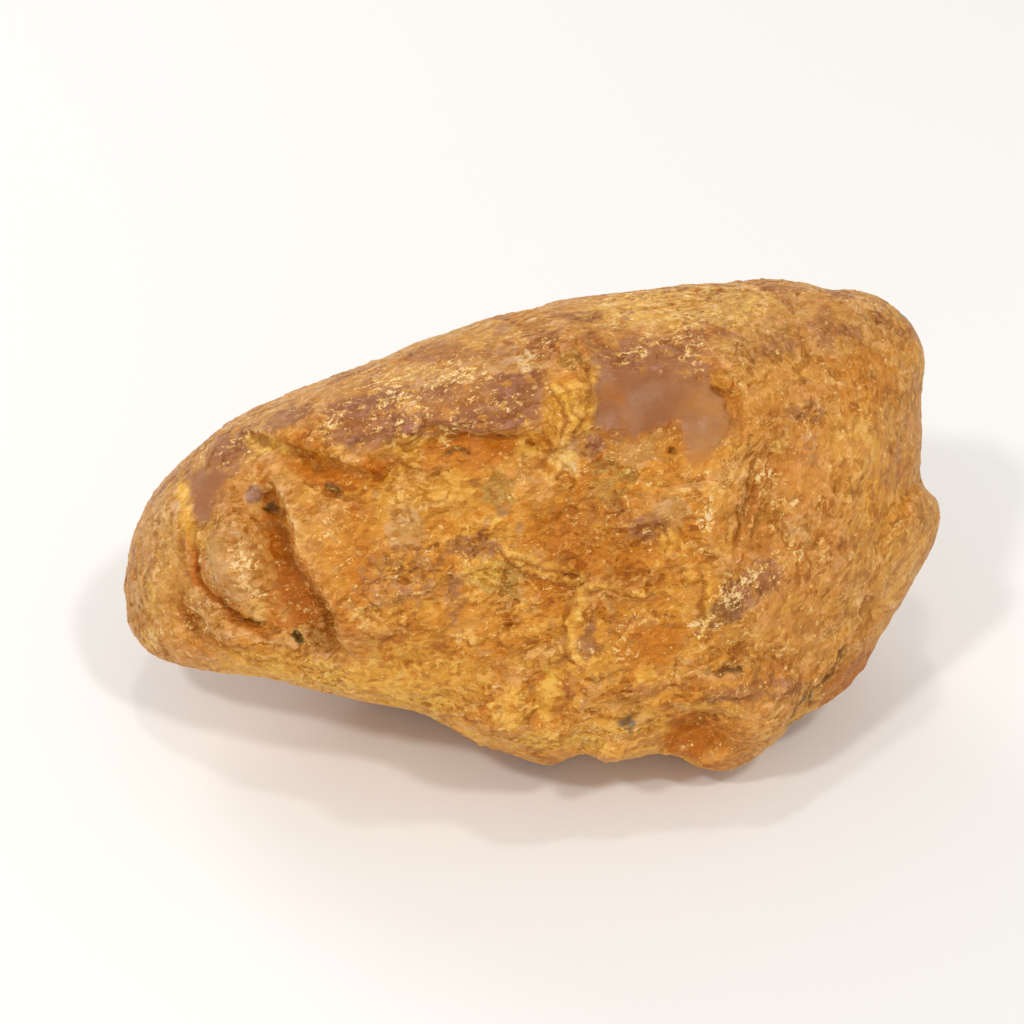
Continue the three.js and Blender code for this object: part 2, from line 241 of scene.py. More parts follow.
def beside(u, v, path):
    """How far each point lies to the left of a path (negative to its right), and its share of the
    path's length."""
    lengths = [math.dist(a, b) for a, b in zip(path, path[1:])]
    nearest = np.full(len(u), np.inf)
    across = np.zeros(len(u))
    along = np.zeros(len(u))
    walked = 0
    for a, b, length in zip(path, path[1:], lengths):
        du, dv = (b[0] - a[0]) / length, (b[1] - a[1]) / length
        t = np.clip((u - a[0]) * du + (v - a[1]) * dv, 0, length)
        ou, ov = u - a[0] - t * du, v - a[1] - t * dv
        distance = np.hypot(ou, ov)
        won = distance < nearest
        nearest[won] = distance[won]
        across[won] = (np.where(du * ov - dv * ou < 0, -1, 1) * distance)[won]
        along[won] = ((walked + t) / sum(lengths))[won]
        walked += length
    return across, along


def within(u, v, outline):
    """How far inside a closed outline each point lies, negative outside."""
    across, _ = beside(u, v, outline + outline[:1])
    inside = np.zeros(len(u), bool)
    for (au, av), (bu, bv) in zip(outline, outline[1:] + outline[:1]):
        if av != bv:
            inside ^= ((av > v) != (bv > v)) & (u < (bu - au) * (v - av) / (bv - av) + au)
    return np.where(inside, 1, -1) * np.abs(across)


def blob(u, v, at, radii, turn=0):
    """1 at the middle of an ellipse and 0 outside it. turn is in degrees, anticlockwise."""
    c, s = math.cos(math.radians(turn)), math.sin(math.radians(turn))
    du, dv = u - at[0], v - at[1]
    reach = ((du * c + dv * s) / radii[0]) ** 2 + ((dv * c - du * s) / radii[1]) ** 2
    return np.clip(1 - reach, 0, 1) ** 1.5


def thread(across, width):
    """1 on a line and falling off to both sides of it, like the section of a thread."""
    return np.exp(-((across / width) ** 2))


def tapered(along, share, start=0):
    """1 along a path, and easing to 0 over a share of its length at both ends."""
    return ease(start, share, along) * ease(start, share, 1 - along)


# The shares of a path over which its form fades out at each end.
GROOVE_TAPER, VEIN_TAPER, LEDGE_TAPER = 0.2, 0.1, 0.12
# A crack's lips: their height as a share of its depth, and how many widths away they lie.
LIP_HEIGHT, LIP_AWAY = 0.2, 2.2
# The fine crack beside a vein: its depth as a share of the rise, widths away, and width in mm.
HAIRLINE_DEPTH, HAIRLINE_AWAY, HAIRLINE_WIDTH = 0.6, 1.5, 0.5


def groove(u, v, path, width, depth):
    """A crack: a narrow furrow with slightly raised lips, fading at both ends."""
    across, along = beside(u, v, path)
    furrow = thread(across, width)
    lips = thread(np.abs(across) - LIP_AWAY * width, width)
    return tapered(along, GROOVE_TAPER) * depth * (LIP_HEIGHT * lips - furrow)


def vein(u, v, path, width, rise):
    """A raised thread of resin, with a fine crack along the right of its path."""
    across, along = beside(u, v, path)
    hairline = thread(across + HAIRLINE_AWAY * width, HAIRLINE_WIDTH)
    return tapered(along, VEIN_TAPER) * rise * (thread(across, width) - HAIRLINE_DEPTH * hairline)


def ledge(u, v, path, rise, drop, reach, run):
    """A scarp: the ground is raised to the left of the path and dropped to its right."""
    across, along = beside(u, v, path)
    up = rise * np.exp(-np.maximum(across, 0) / reach[0])
    down = -drop * np.exp(-np.maximum(-across, 0) / reach[1])
    return tapered(along, LEDGE_TAPER) * (down + (up - down) * ease(-run, run, across))


# Outlines and paths on the broad face, in mm across and up from its centre.
CREST = [(-90, -14), (-84, -3), (-73.5, 5.5), (-63.5, 17), (-51, 21.5), (-38, 26), (-22.5, 29),
         (-7, 31), (15, 32), (28.5, 35), (41.5, 33.5), (60, 38), (90, 40)]
CLEFT = [(-56.5, 9), (-55, 4), (-53, 0), (-52.5, -5.5), (-50, -10.5), (-46, -16.5), (-43.5, -21),
         (-43, -27)]
NOSE_WINDOW = [(-75.9, 10.5), (-73, 12), (-70, 12.4), (-66.2, 11.3), (-67.8, 7.3), (-70, 4),
               (-71.5, 0.7), (-72.8, -0.9), (-74.2, 2.4), (-75.5, 6.2)]
BROAD_WINDOW = [(14.5, 34), (21.9, 36), (30.9, 36), (36.2, 34), (40.6, 30.2), (42.2, 27),
                (43.8, 24.4), (44.6, 21.4), (41.6, 17.6), (38.8, 13.8), (36.8, 11.8), (35, 12.2),
                (33.8, 16.5), (33.4, 20.6), (31, 22.6), (27, 20.4), (23, 18.2), (18.6, 19.4),
                (14, 22), (13.5, 28)]
MAUVE_ZONE = [(14, 39), (22, 41), (32, 40), (37, 37), (41, 30), (45.3, 23.2), (41, 17), (35, 13),
              (28, 13), (20, 14), (14, 17), (13.5, 24), (14.5, 32)]
SKIN_BAND = [(-44.5, 27), (-33.5, 30.5), (-22.5, 33), (-11.5, 34), (2, 34.5), (3, 29.5), (2, 21.5),
             (-7, 19.5), (-20.5, 19), (-30, 17.5), (-40, 15.5), (-49, 19)]
# Smooth, orange hollows in the crust: middle, radii and turn.
SMOOTH_PLACES = [
    ((-14, 15), (13, 4), 4), ((-54, -12), (7, 15), 18), ((36, -48), (11, 7), 10),
    ((24.5, 17), (8, 4.5), 5), ((-44, 11.5), (11, 3.5), -16), ((30, 3), (5, 3.5), 10),
    ((4, -38), (3.5, 8), 0), ((25, -29), (7, 5), 20),
]
# Noises that set the regions apart. Each has a size in mm, its octaves and its seed, and where it
# moves an edge, a height in mm before them.
RAGGED = [(0.9, 5, 3, 1), (0.4, 1.6, 2, 2)]
SPECKLED = [(1.6, 2.2, 3, 3)]
CLOUDS = (26, 3, 4)
FAR_WINDOWS = (21, 3, 9)
COARSENESS = (11, 3, 5)
# Edges of the regions: where each starts, and where it is full. The windows' are in mm within the
# outline; the nose's has no clean edge on its right, nor the broad one on its left and top.
NOSE_EDGE = (-46, -54)
NOSE_WINDOW_RIGHT = (-73.5, -67)
BROAD_WINDOW_LEFT, BROAD_WINDOW_TOP = (30, 18), (25, 34)
FAR_WINDOW_EDGE = (0.33, 0.52)
BAND_EDGE = (-1.5, 2)
MAUVE_EDGE, MAUVE_FOOT = (-2, 1.5), (13, 24)
SKIN_EDGE, FAR_SKIN_EDGE = (-2, 3), (-0.1, 0.2)
RIGHT_EDGE = (30, 58)
COARSE_EDGE = (-0.3, 0.3)


def regions(lump):
    """Where each kind of surface is, from 0 to 1 at every point."""
    ragged = layered(lump.points, RAGGED)
    speckled = layered(lump.points, SPECKLED)
    clouds = ripples(lump.points, *CLOUDS)
    u, v = lump.u + ragged, lump.v + 0.8 * ragged
    back = 1 - lump.front
    nose = ease(*NOSE_EDGE, lump.u + 0.3 * lump.v)
    nose_fade = 1.2 * ease(*NOSE_WINDOW_RIGHT, lump.u)
    left_fade = 0.3 * ease(*BROAD_WINDOW_LEFT, lump.u)
    broad_fade = 2.2 * np.maximum(left_fade, ease(*BROAD_WINDOW_TOP, lump.v))
    windows = []
    for outline, fade in ((NOSE_WINDOW, nose_fade), (BROAD_WINDOW, broad_fade)):
        inside = within(u, v, outline) + (0.4 + 1.4 * fade) * speckled
        windows.append(ease(-0.9 - fade, 0.7 + 1.6 * fade, inside))
    strayed = ripples(lump.points, *FAR_WINDOWS) + 0.12 * ragged + 0.06 * speckled
    far_windows = ease(*FAR_WINDOW_EDGE, strayed)
    window = np.clip(lump.front * np.maximum(*windows) + back * far_windows, 0, 1)
    band = lump.front * ease(*BAND_EDGE, within(u, v, SKIN_BAND) + 1.5 * ragged)
    zone = lump.front * ease(*MAUVE_EDGE, within(u, v, MAUVE_ZONE) + 1.5 * ragged)
    zone *= ease(*MAUVE_FOOT, lump.v + 3 * ragged)
    over_crest, _ = beside(lump.u, lump.v, CREST)
    skin = lump.front * ease(*SKIN_EDGE, over_crest + 2 * ragged)
    skin = np.clip(skin + back * ease(*FAR_SKIN_EDGE, clouds), 0, 1)
    right = lump.front * ease(*RIGHT_EDGE, lump.u + 4 * clouds)
    broken = lump.front * (1 - skin) * (1 - nose) * (1 - 0.55 * right) + back * (1 - skin) * 0.8
    coarse = at_least(0.3, ease(*COARSE_EDGE, ripples(lump.points, *COARSENESS)))
    coarse *= (1 - 0.3 * right) * (1 - 0.45 * band)
    for at, radii, turn in SMOOTH_PLACES:
        coarse *= 1 - 0.75 * lump.front * np.minimum(1, 2 * blob(lump.u, lump.v, at, radii, turn))
    return {"window": window, "band": np.maximum(band, zone), "skin": skin,
            "nose": lump.front * nose, "right": right, "broken": broken * (1 - window),
            "coarse": coarse * (1 - window), "ragged": ragged, "back": back}


# Scarps on the broad face: the ground is raised to the left of the path and dropped to its right.
# rise and drop are in mm, and reach says over how many mm each dies away.
LEDGES = [
    # The two overhanging lips of old skin.
    {"path": [(-64, 20.5), (-54, 18), (-50, 16.5), (-43.5, 14.5), (-40.5, 13), (-34, 12)],
     "rise": 0.6, "drop": 0.5, "reach": (7, 5), "run": 0.7},
    {"path": [(-31, 16.5), (-24, 19), (-11.5, 20), (-2.5, 19)],
     "rise": 0.6, "drop": 0.8, "reach": (7, 4), "run": 0.7},
    # The broken plate over the cleft, and the lip at its upper end.
    {"path": CLEFT, "rise": 0.6, "drop": 1.6, "reach": (5, 3.5), "run": 0.6},
    {"path": [(-36, 4), (-39, 4.8), (-43.5, 6), (-50, 8), (-56, 9)],
     "rise": 1.0, "drop": 1.0, "reach": (3, 3), "run": 0.8},
    # The folds of the nose.
    {"path": [(-56, -23), (-62, -20.2), (-66, -17.6), (-70.3, -14.8), (-72.6, -11.5), (-73.4, -6),
              (-74, 1)],
     "rise": 0.8, "drop": -1.6, "reach": (4, 3), "run": 0.6},
    {"path": [(-62, -28.5), (-67.5, -25.5), (-71, -22.8), (-73.5, -19), (-77.5, -15.5)],
     "rise": 1.2, "drop": -1.0, "reach": (4, 3), "run": 0.5},
    # The rim of the scoop.
    {"path": [(44, -43), (38, -45.5), (33, -48), (28, -51)],
     "rise": 0.6, "drop": 1.2, "reach": (3, 5), "run": 0.4},
    # The edge of the lower right-hand side, and the small scarps above it.
    {"path": [(54, -45), (59.5, -40), (64.5, -34), (68.5, -28.5), (71.5, -23.5), (75.5, -15)],
     "rise": 0.8, "drop": 3.0, "reach": (5, 6), "run": 0.8},
    {"path": [(46, -31), (42, -33.5), (37, -33)],
     "rise": 0.6, "drop": 0.9, "reach": (3, 3), "run": 0.4},
    {"path": [(34, -40.5), (41.5, -38.5), (49.5, -38)],
     "rise": 0.8, "drop": 1.0, "reach": (3, 4), "run": 0.4},
    {"path": [(51.5, 17), (49.5, 12), (48.5, 4), (46, -7)],
     "rise": 0.9, "drop": 1.2, "reach": (3, 3), "run": 0.6},
    {"path": [(86, 8), (80, 1), (78, -8)], "rise": 0.2, "drop": 1.0, "reach": (4, 5), "run": 0.8},
]
# Veins of yellow resin, raised and cracked along their lower side: path, width and height.
VEINS = [
    ([(-7, -4), (-6.2, -5.1), (-4.4, -7.3), (-0.6, -10.7), (5, -12.1), (9.2, -13.2), (11.9, -15.2)],
     0.9, 0.7),
    ([(11.9, -15.2), (15.5, -14.2), (19, -14.2), (23.2, -15.2), (28, -14.6)], 0.8, 0.5),
    ([(-5, -6.4), (-1, -7.6), (2.2, -9.3), (6.5, -9.6), (10.6, -10.7), (12, -14)], 0.8, 0.5),
    ([(11.9, -14.2), (9.9, -19.1), (8.1, -22.6), (8.9, -26), (9.5, -29.5), (12, -31)], 0.9, 0.6),
    ([(38.5, -10), (39.4, -16), (38.6, -21), (37, -26)], 0.9, 0.4),
    ([(14.5, 35), (14, 31), (13.6, 26), (12.4, 21), (9.5, 18)], 0.9, 0.5),
    ([(4.5, 31), (7.5, 27), (8.6, 22), (7, 18)], 0.8, 0.4),
]
# Cracks: path, width and depth.
CRACKS = [
    ([(-19.8, 15.6), (-17, 16.2), (-13, 15.2)], 0.8, 1.2),
    ([(4, 9.6), (5.7, 10.8), (9.9, 11.8)], 0.45, 0.8),
    ([(-56, -23.5), (-62, -20.7), (-66, -18.1), (-70.3, -15.3), (-73.1, -11.8), (-74, -6),
     (-74.5, 1)], 0.7, 1.1),
    ([(-62, -29), (-67.5, -26), (-71.2, -23.2), (-74, -19.4), (-78, -16)], 0.7, 0.9),
    ([(9, -36.5), (12, -35), (17, -34)], 0.5, 0.7),
    ([(3, 39), (6, 37.6), (7.5, 34), (11, 33.5)], 0.4, 0.7),
    ([(5, 31), (8.2, 29), (8.6, 24.5), (12, 22)], 0.4, 0.7),
    ([(10.5, 42), (9.8, 38), (12.4, 35), (11.6, 30)], 0.4, 0.7),
    ([(-24.5, 4.2), (-19.5, 5), (-17.5, 7)], 0.5, 0.7),
    ([(-25, 0), (-21, 1.5), (-17, 2.5)], 0.5, 0.6),
    ([(-19, -26), (-12, -26.5), (-7.5, -25.5)], 0.5, 0.7),
    ([(-45, -19.5), (-42, -17.5), (-39, -17)], 0.5, 0.7),
    ([(-38, -15.5), (-34.5, -18.5), (-32.5, -20.5)], 0.45, 0.6),
    ([(49.5, 14), (48.5, 8), (46.5, 1), (45, -7)], 0.9, 1.1),
    ([(5, 20), (6.5, 13), (9, 9), (8, 3)], 0.5, 0.5),
    ([(-3, 2), (4, 0), (9, 3), (16, 1)], 0.5, 0.5), ([(27, 1), (30, -3), (29, -9)], 0.5, 0.6),
    ([(58, 22), (64, 25), (69, 24)], 0.6, 0.5), ([(-6, -16), (1, -18), (6, -17)], 0.5, 0.5),
    ([(22, -24), (29, -22), (36, -23)], 0.5, 0.5),
]
# Domes, and hollows with a height below 0: middle, radii, turn and height.
DOMES = [
    ((-46, 10.3), (15, 4), -14, 0.8), ((-65, -8), (8, 14), 18, 1.2),
    ((-60.5, -18.5), (7, 3.6), -38, 1.3), ((-66, -25.5), (9, 5), -28, 0.8),
    ((-74.5, -22), (4, 3), -30, -0.6), ((-15, 15.5), (13, 3.2), 4, 0.8),
    ((8.5, 30), (6, 17), 0, 1.0), ((8, 38), (5, 4), 20, 0.5), ((37, -47.5), (8.5, 6), 10, -2.2),
    ((50.5, -45), (8, 8), -30, 1.2), ((-5, -43), (9, 7), -20, 1.4), ((17, -50), (3.5, 3), 0, 1.6),
    ((31, 15.7), (1.2, 1.0), 0, -1.6), ((-57, 2.8), (2.2, 1.2), -20, -1.6),
    ((-51.4, -25.5), (1.0, 2.2), 12, -1.6), ((-43.5, 7.5), (2.6, 1.4), -20, -1.6),
    ((24, -33), (2.8, 2.2), 0, 0.8), ((40, 0), (3, 9), -5, 0.8), ((60, -2), (8, 14), 12, -1.2),
    ((74, 12), (8, 15), 0, 1.0), ((24, -4), (7, 6), 20, -1.0),
]
# How far the scarps, cracks and stains stray from their paths, and how a vein swells and thins.
WANDER = [(1.3, 6, 3, 6), (0.5, 2, 2, 7)]
VEIN_MEAN, VEIN_SWELLING = 0.6, [(0.6, 4, 3, 8)]


def shape_forms(lump):
    """The scarps, domes, cracks and veins of the broad face, each in its own place."""
    wander = layered(lump.points, WANDER)
    u, v = lump.u + wander, lump.v - wander
    height = sum(ledge(u, v, **form) for form in LEDGES)
    height += sum(size * blob(u, v, at, radii, turn) for at, radii, turn, size in DOMES)
    height += sum(groove(u, v, *crack) for crack in CRACKS)
    swelling = VEIN_MEAN + layered(lump.points, VEIN_SWELLING)
    height += swelling * sum(vein(u, v, *resin) for resin in VEINS)
    lump.raise_by(lump.front * height)


# The crust is flaky: its chips are drawn out almost level on the left, and steeply on the right,
# where the resin ran down.
LEVEL_FLOW = np.array(ACROSS * 0.96 + UP_FACE * 0.28)
STEEP_FLOW = np.array(ACROSS * 0.35 + UP_FACE * 0.94)
LEVEL_CHIPS = {"stretch": 2.4, "kind": (4.6, 1), "height": 0.55, "gap": 0.45, "gap_depth": 0.35}
STEEP_CHIPS = {"stretch": 2.2, "kind": (3.2, 2), "height": 0.40, "gap": 0.4, "gap_depth": 0.20}
# The rest of its relief, with heights in mm. A noise has its size, octaves and seed.
SWELL_HEIGHT, SWELLS = 0.7, (15, 2, 11)
BUMP_HEIGHT, BUMPS = 0.3, (6, 3, 12)
WARP, WARP_SIZE, WARP_OCTAVES, WARP_SEED = 1.5, 6, 3, 20
SMALL_CHIP_HEIGHT, SMALL_CHIPS = 0.22, (2.4, 3)
CREASE_HEIGHT, CREASE_STRETCH, LEVEL_CREASES = 0.35, 2.2, (5.5, 3, 13)
GRAIN_HEIGHT, FINE_GRAIN = 0.12, (1.5, 3, 14)
PIT_DEPTH, PIT_START, PITS = 0.9, 0.33, (4.5, 2, 15)
# The nose and the old skin are crumbly too: how much, and the heights of what makes them so.
CRUMBLY_NOSE, CRUMBLY_SKIN = 0.8, 0.4
CRUMBLE_HEIGHT, CRUMBLE = 0.5, (3.2, 3, 16)
CRUMBLE_CHIP_HEIGHT = 0.3
CRUMBLE_LUMP_HEIGHT, CRUMBLE_LUMPS = 0.35, (4.5, 3, 17)
TORN_EDGE = (-0.1, 0.5)
RELIEF_KEPT = 0.82  # the share of all this relief that is used
BARE_RESIN_SMOOTH = 0.93  # the share of it that is missing where the resin is bare
BARE_RESIN_DEPTH = 0.1


def drawn_out(points, along, stretch):
    """The points squeezed along a direction, so that noise made on them is stretched along it."""
    return points - np.outer(points @ along, along) * (1 - 1 / stretch)


def flakes(points, torn, flow, stretch, kind, height, gap, gap_depth):
    """Chips drawn out along a flow, with open gaps between them where the crust is torn."""
    chip, border = chips(drawn_out(points, flow, stretch), *kind)
    return height * chip - gap_depth * torn * thread(border, gap)


def shape_crust(lump):
    """Chips, ridges and grain over the whole lump: rough where it is broken, and almost none where
    the bare resin shows."""
    where = regions(lump)
    points, broken, right = lump.points, where["broken"], where["right"]
    height = SWELL_HEIGHT * ripples(points, *SWELLS)
    height += BUMP_HEIGHT * at_least(0.45, broken) * ripples(points, *BUMPS)
    warped = points + np.column_stack([
        WARP * ripples(points, WARP_SIZE, WARP_OCTAVES, WARP_SEED + k) for k in range(3)])
    torn = ease(*TORN_EDGE, where["ragged"])
    level = flakes(warped, torn, LEVEL_FLOW, **LEVEL_CHIPS)
    steep = flakes(warped, torn, STEEP_FLOW, **STEEP_CHIPS)
    small, _ = chips(warped, *SMALL_CHIPS)
    height += at_least(0.25, broken) * (level * (1 - right) + steep * right)
    height += at_least(0.4, broken) * SMALL_CHIP_HEIGHT * small
    level_creases = creases(drawn_out(warped, LEVEL_FLOW, CREASE_STRETCH), *LEVEL_CREASES)
    height += CREASE_HEIGHT * broken * (1 - right) * level_creases
    height += GRAIN_HEIGHT * ripples(points, *FINE_GRAIN)
    crumbly = np.maximum(CRUMBLY_NOSE * where["nose"], CRUMBLY_SKIN * where["skin"])
    height += crumbly * (CRUMBLE_HEIGHT * creases(warped, *CRUMBLE) + CRUMBLE_CHIP_HEIGHT * small
                         + CRUMBLE_LUMP_HEIGHT * ripples(warped, *CRUMBLE_LUMPS))
    height *= at_least(0.4, where["coarse"])
    pits = np.clip(creases(points, *PITS) - PIT_START, 0, 1)
    height -= PIT_DEPTH * pits * at_least(0.4, where["skin"])
    crust = 1 - BARE_RESIN_SMOOTH * where["window"]
    lump.raise_by(RELIEF_KEPT * crust * height - BARE_RESIN_DEPTH * where["window"])


lump = Surface()
shape_forms(lump)
shape_crust(lump)
finish_with("DECIMATE", ratio=min(1, MOST_TRIANGLES / (2 * len(nugget.data.polygons))))
nugget.data.shade_smooth()
lump.read()

# ---- Its colours ----------------------------------------------------------------------------------
# The weathered crust runs from yellow ochre to burnt orange, with painted shade in its hollows, folds
# and cleft and under its lips, and painted glow along its lower edge. The old skin and the bare resin
# are mauve, and crumbs of cream-coloured, crazed resin are caught in the crust, with painted glints
# among them.


def relief(passes):
    """How far each point stands proud of its evened-out surroundings, in mm."""
    mesh = nugget.data
    edges = np.empty(len(mesh.edges) * 2, int)
    mesh.edges.foreach_get("vertices", edges)
    near, far = np.concatenate([edges[::2], edges[1::2]]), np.concatenate([edges[1::2], edges[::2]])
    count = np.bincount(near, minlength=len(lump.points))
    even = lump.points.copy()
    for _ in range(passes):
        even = np.column_stack([np.bincount(near, even[far, k], len(count)) / count for k in range(3)])
    return np.einsum("ij,ij->i", lump.points - even, lump.normals)


def store(name, channels):
    """Keeps up to four numbers for every point, for the material to read."""
    attribute = nugget.data.attributes.new(name, "FLOAT_COLOR", "POINT")
    values = np.ones((len(lump.points), 4))
    for k, channel in enumerate(channels):
        values[:, k] = channel
    attribute.data.foreach_set("color", values.ravel())


def paint(red, green, blue):
    """A colour from 0 to 255, as colours are given on a screen, made linear."""
    return tuple(((c / 255 + 0.055) / 1.055) ** 2.4 for c in (red, green, blue))


COLOURS = {
    "ochre": paint(215, 143, 44), "yellow": paint(234, 178, 70), "orange": paint(202, 123, 26),
    "amber": paint(194, 110, 12), "burnt": paint(170, 97, 14), "umber": paint(116, 67, 14),
    "mauve": paint(159, 101, 60), "lilac": paint(172, 125, 90), "tan": paint(206, 152, 84),
    "cream": paint(248, 218, 164), "straw": paint(242, 192, 100), "olive": paint(180, 141, 62),
    "soot": paint(80, 66, 32), "rust": paint(178, 104, 34), "slate": paint(148, 130, 106),
}
# In a hollow the crust is darkened as painted shade, and by the same factor where its tone is dark; on
# a worn edge it is crazed and paler.
DARK_TONE_AND_SHADE = (0.70, 0.55, 0.29)
PALER = (1.22, 1.42, 2.5)
# Stains on the broad face, and among them some painted shade, glow, highlights and sheen. A patch has
# a middle, radii and a turn; a streak has a path and a width.
PATCHES = [
    ("mauve", 0.75, (-67, 15), (9, 5), 42), ("mauve", 0.7, (-55, 22.5), (9, 3), 25),
    # The straw spot on the lower lobe of the nose is a painted highlight.
    ("olive", 0.35, (-71.5, -4.8), (4, 4), 0), ("straw", 0.6, (-60, -19.3), (4, 3.4), -20),
    ("yellow", 0.7, (-58.6, 17.5), (6, 3.2), -10), ("lilac", 1.0, (-61.2, 6), (2.4, 3), 0),
    # The amber in the cleft is its orange wall deepened with painted shade.
    ("orange", 0.8, (-58.8, 10.5), (2.2, 2.2), 0), ("amber", 0.9, (-55.5, -4), (4, 9), 10),
    ("amber", 0.95, (-52, -14), (5, 12), 20), ("amber", 0.7, (-54, -19), (8, 6), 30),
    # The amber below the first lip of old skin is painted shade.
    ("straw", 0.5, (-84, -25.5), (2.2, 3.2), 0), ("amber", 0.75, (-46, 10.8), (11, 3.6), -16),
    ("soot", 0.75, (-57, 2.8), (2.4, 1.5), -20), ("soot", 0.8, (-51.4, -25.5), (1.1, 2.6), 12),
    ("soot", 0.5, (-47.3, 11.8), (1.7, 1.1), 0), ("soot", 0.6, (-43.8, 7.6), (2.6, 1.2), -25),
    # The amber patches under the lips of old skin on this line are painted shade.
    ("amber", 0.6, (-34, 13), (6, 3), -10), ("amber", 0.85, (-13, 17), (14, 3.2), 3),
    ("orange", 0.7, (-16, 14.5), (12, 3.5), 4), ("yellow", 0.55, (-27, 17.5), (6, 2.6), 15),
    ("mauve", 0.5, (-13, -5.2), (8, 3.6), 0), ("mauve", 0.25, (-30, -11), (13, 8), 10),
    ("tan", 0.5, (-28.5, -1), (6, 5), 0), ("olive", 0.4, (-7, 7), (6, 5), 20),
    ("straw", 0.65, (7, 14.6), (4, 4.5), 0), ("olive", 0.45, (-7, -12), (8, 5), 0),
    ("mauve", 0.7, (12.3, 17.2), (5, 3.6), 0), ("yellow", 0.7, (-0.7, 15.9), (3.2, 3), 0),
    ("cream", 0.6, (-2, 36), (3, 3), 0), ("tan", 0.6, (24.5, 16.5), (8, 4.6), 5),
    ("orange", 0.6, (12.4, 8), (5, 4), 0), ("tan", 0.7, (29.8, 2.9), (6, 4), 10),
    ("tan", 0.6, (-27.8, -2), (5, 6), 0), ("yellow", 0.6, (-11.3, -10.2), (5, 4), 0),
    ("mauve", 0.5, (-17, -17), (2.6, 7), 0), ("straw", 0.35, (-37, -21), (4.5, 3), 20),
    ("orange", 0.7, (-38.4, 3), (4, 3), 0), ("slate", 0.6, (-6.8, 3.4), (1.6, 2), 0),
    ("slate", 0.6, (-3.3, -0.9), (1.4, 1.1), 0), ("yellow", 0.8, (-8.5, 0.8), (1.6, 1.4), 0),
    ("orange", 0.3, (9, 36), (6.6, 8), 0), ("yellow", 0.35, (11, 26), (4.4, 8), 0),
    ("olive", 0.35, (9, 35.5), (3.5, 3), 0), ("rust", 0.35, (14, -4), (17, 13), 10),
    ("orange", 0.55, (4, -3), (10, 7), 10), ("orange", 0.45, (20, -8), (14, 6), -10),
    ("lilac", 0.35, (19, 24), (6, 7), 0), ("tan", 0.6, (-66, -9), (7, 12), 15),
    ("orange", 0.85, (23, 19.8), (3, 2), 10), ("ochre", 0.6, (30.4, 16.4), (4, 4), 0),
    ("umber", 0.85, (31.2, 15.6), (1.1, 1), 0), ("olive", 0.35, (18, 9), (8, 6), 15),
    ("mauve", 0.6, (25.5, -0.8), (5.5, 4), 10), ("yellow", 0.7, (40.8, 31.3), (1.8, 1.6), 0),
    ("orange", 0.6, (42, 27), (6, 7), 30), ("ochre", 0.5, (38, 14), (8, 3), 20),
    ("straw", 0.5, (54.6, 17), (2.6, 2.4), 30), ("lilac", 0.2, (60, 16), (5, 4), 20),
    ("tan", 0.4, (57.5, -1), (4, 5), 0), ("burnt", 0.5, (49, 3), (2.6, 9), -8),
    ("mauve", 0.7, (46, -16), (16, 5), 41), ("umber", 0.4, (42, -20), (6, 3.5), 30),
    ("yellow", 0.8, (24.5, -33), (3.6, 2.4), 0), ("rust", 0.7, (25, -37), (5, 1.8), 0),
    ("rust", 0.8, (7.8, -36), (1.8, 4.6), 5), ("mauve", 0.6, (12.5, -26), (3, 7), 0),
    ("yellow", 0.8, (3.3, -37.7), (3, 8), 0), ("orange", 0.6, (26, -28), (9, 7), 20),
    ("soot", 0.5, (20.7, -44), (2.2, 1.8), 0), ("burnt", 0.6, (46, -28.5), (3.5, 2), 30),
    ("mauve", 0.45, (50, -37), (14, 4), 10), ("yellow", 0.45, (-5, -41), (6, 6), -30),
    ("orange", 0.5, (-16, -33), (12, 6), -15), ("yellow", 0.5, (6, -48), (14, 3), 0),
    ("amber", 0.95, (35.5, -47), (7.5, 5.5), 15), ("orange", 0.5, (45, -47.5), (5, 5), 0),
    ("rust", 0.8, (70, -36), (5, 13), -38), ("slate", 0.35, (21, -43.5), (3, 2), 0),
    ("rust", 0.35, (-36, 22), (7, 3), 18), ("mauve", 0.4, (60, 24), (6, 4), 20),
    # The straw along the top rim is its colour with painted sheen in it.
    ("straw", 0.4, (34, 48), (26, 6), 2), ("tan", 0.5, (-14, 33.5), (22, 3), 8),
    ("orange", 0.5, (74, 30), (9, 10), 0), ("ochre", 0.5, (78, 5), (7, 12), 0),
    # The orange strip low on the nose is painted glow, of light through the thin resin and bounced off
    # the table.
    ("tan", 0.4, (-83, 0), (5, 12), 12), ("orange", 0.75, (-62, -29.5), (17, 4.5), -12),
    ("yellow", 0.35, (-22, -33), (18, 8), -14), ("orange", 0.3, (-30, -37), (16, 4), -14),
    ("tan", 0.4, (-86, -14), (3, 8), 0),
]
